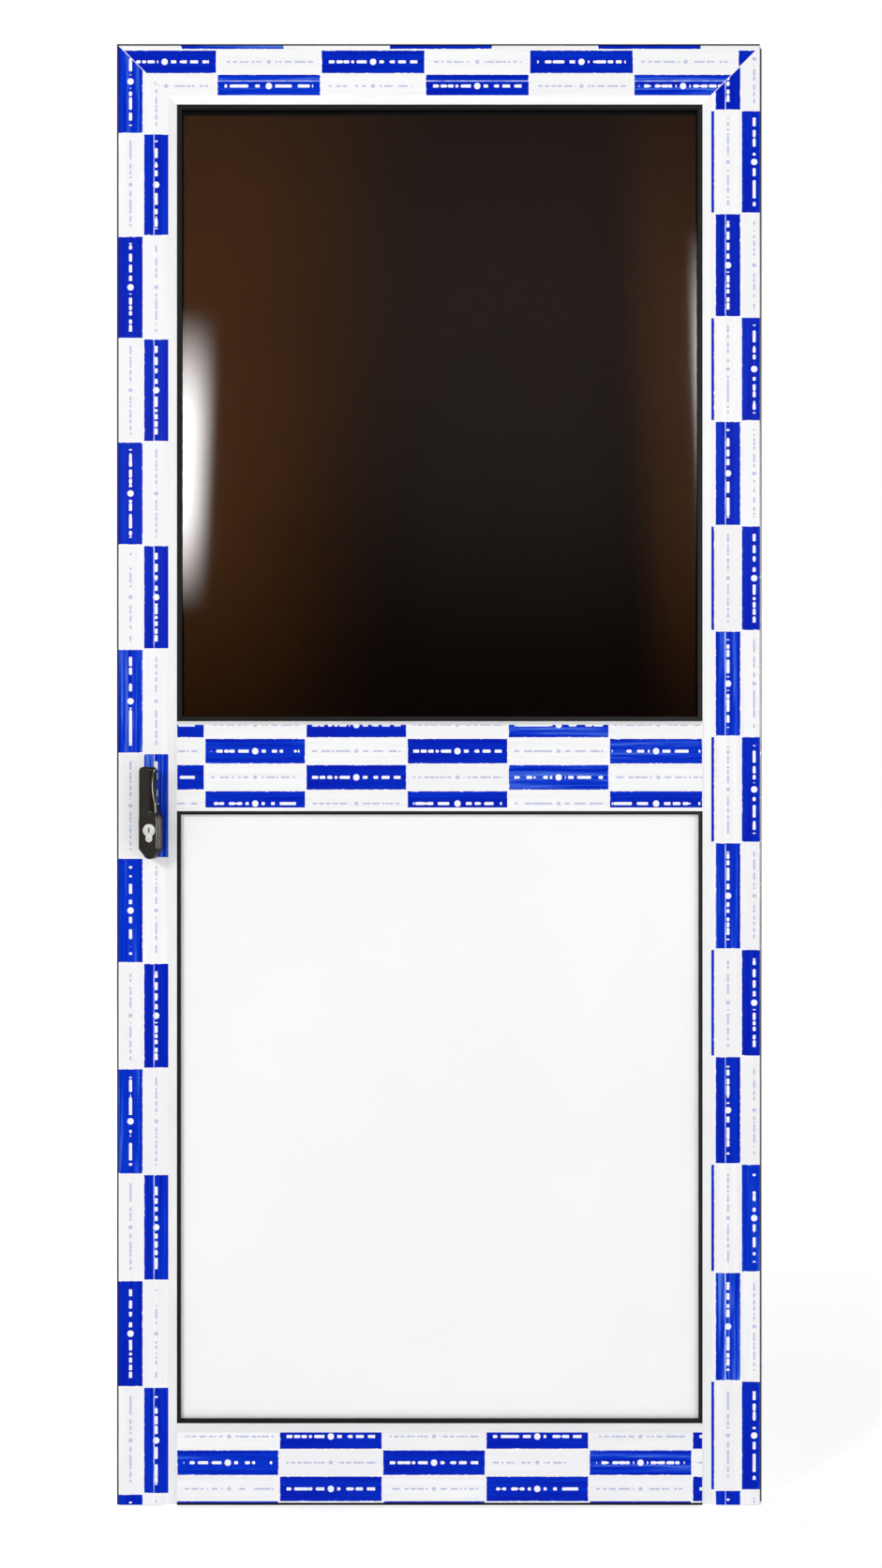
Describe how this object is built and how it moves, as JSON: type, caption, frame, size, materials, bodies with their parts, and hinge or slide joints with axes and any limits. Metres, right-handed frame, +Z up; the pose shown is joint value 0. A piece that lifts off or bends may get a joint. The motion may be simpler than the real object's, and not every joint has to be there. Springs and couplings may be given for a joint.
{
  "type": "glazed aluminium door",
  "caption": "White aluminium door leaf, tinted glass above a solid panel, hung on a full-height hinge in a slim frame, with keyed pulls and checked film.",
  "frame": {"origin": "on the floor, midway between the jambs and in the middle of the leaf's depth", "axes": "+X across the door to the hinge side, +Y from the front to the back, +Z up"},
  "size_m": [0.905, 0.109, 2.05],
  "materials": {
    "white_coating": "satin white powder coating on aluminium",
    "mill_aluminium": "mill finish",
    "black_seal": "matte black rubber",
    "black_hinge": "black coating",
    "black_pull": "satin black coating on a casting",
    "steel": "zinc plated",
    "nickel": "satin nickel",
    "bronze_glass": "dark bronze tinted glass",
    "clear_glass": "clear glass",
    "white_panel": "smooth white sandwich panel",
    "block_plastic": "black plastic",
    "film_white": "white protective film",
    "film_blue": "blue printed film"
  },
  "bodies": {
    "frame": {"lock_jamb": "white_coating", "hinge_jamb": "white_coating", "frame_head": "white_coating", "threshold": "mill_aluminium", "frame_cleat_lock": "mill_aluminium", "frame_cleat_hinge": "mill_aluminium", "stop_gasket": "black_seal", "strike_plate": "steel", "hinge_frame_wing": "black_hinge", "hinge_pin": "steel"},
    "leaf": {"lock_stile": "white_coating", "hinge_stile": "white_coating", "top_rail": "white_coating", "middle_rail": "white_coating", "bottom_rail": "white_coating", "leaf_cleat_lock": "mill_aluminium", "leaf_cleat_hinge": "mill_aluminium", "lip_gasket": "black_seal", "bottom_sweep": "black_seal", "hinge_leaf_wing": "black_hinge", "outer_pane": "bronze_glass", "spacer_bar": "mill_aluminium", "inner_pane": "clear_glass", "infill_panel": "white_panel", "setting_blocks": "block_plastic", "glass_front_gasket": "black_seal", "glass_back_gasket": "black_seal", "panel_front_gasket": "black_seal", "panel_back_gasket": "black_seal", "glass_bead_left": "white_coating", "glass_bead_right": "white_coating", "glass_bead_top": "white_coating", "glass_bead_bottom": "white_coating", "panel_bead_left": "white_coating", "panel_bead_right": "white_coating", "panel_bead_top": "white_coating", "panel_bead_bottom": "white_coating", "lock_case": "steel", "lock_faceplate": "steel", "cylinder_body": "nickel", "outer_pull": "black_pull", "inner_pull": "black_pull", "lock_stile_film": "film_white", "hinge_stile_film": "film_white", "top_rail_film": "film_white", "middle_rail_film": "film_white", "bottom_rail_film": "film_white", "lock_stile_print": "film_blue", "hinge_stile_print": "film_blue", "top_rail_print": "film_blue", "middle_rail_print": "film_blue", "bottom_rail_print": "film_blue"},
    "key_core": {"outer_plug": "nickel", "inner_plug": "nickel", "cam": "nickel"},
    "bolt": {"dead_bolt": "steel"}
  },
  "joints": [
    {"name": "leaf_swing", "type": "hinge", "parent": "frame", "child": "leaf", "pos_m": [0.4495, -0.01575, 1], "axis": [0, 0, 1], "range_deg": [0, 95]},
    {"name": "key_turn", "type": "hinge", "parent": "leaf", "child": "key_core", "pos_m": [-0.4025, 0, 0.949], "axis": [0, 1, 0], "range_deg": [0, 360]},
    {"name": "bolt_slide", "type": "slide", "parent": "leaf", "child": "bolt", "axis": [-1, 0, 0], "range_m": [0, 0.017]}
  ],
  "couplings": [
    {"joint": "bolt_slide", "follows": "key_turn", "m_per_rad": 0.0023873}
  ]
}
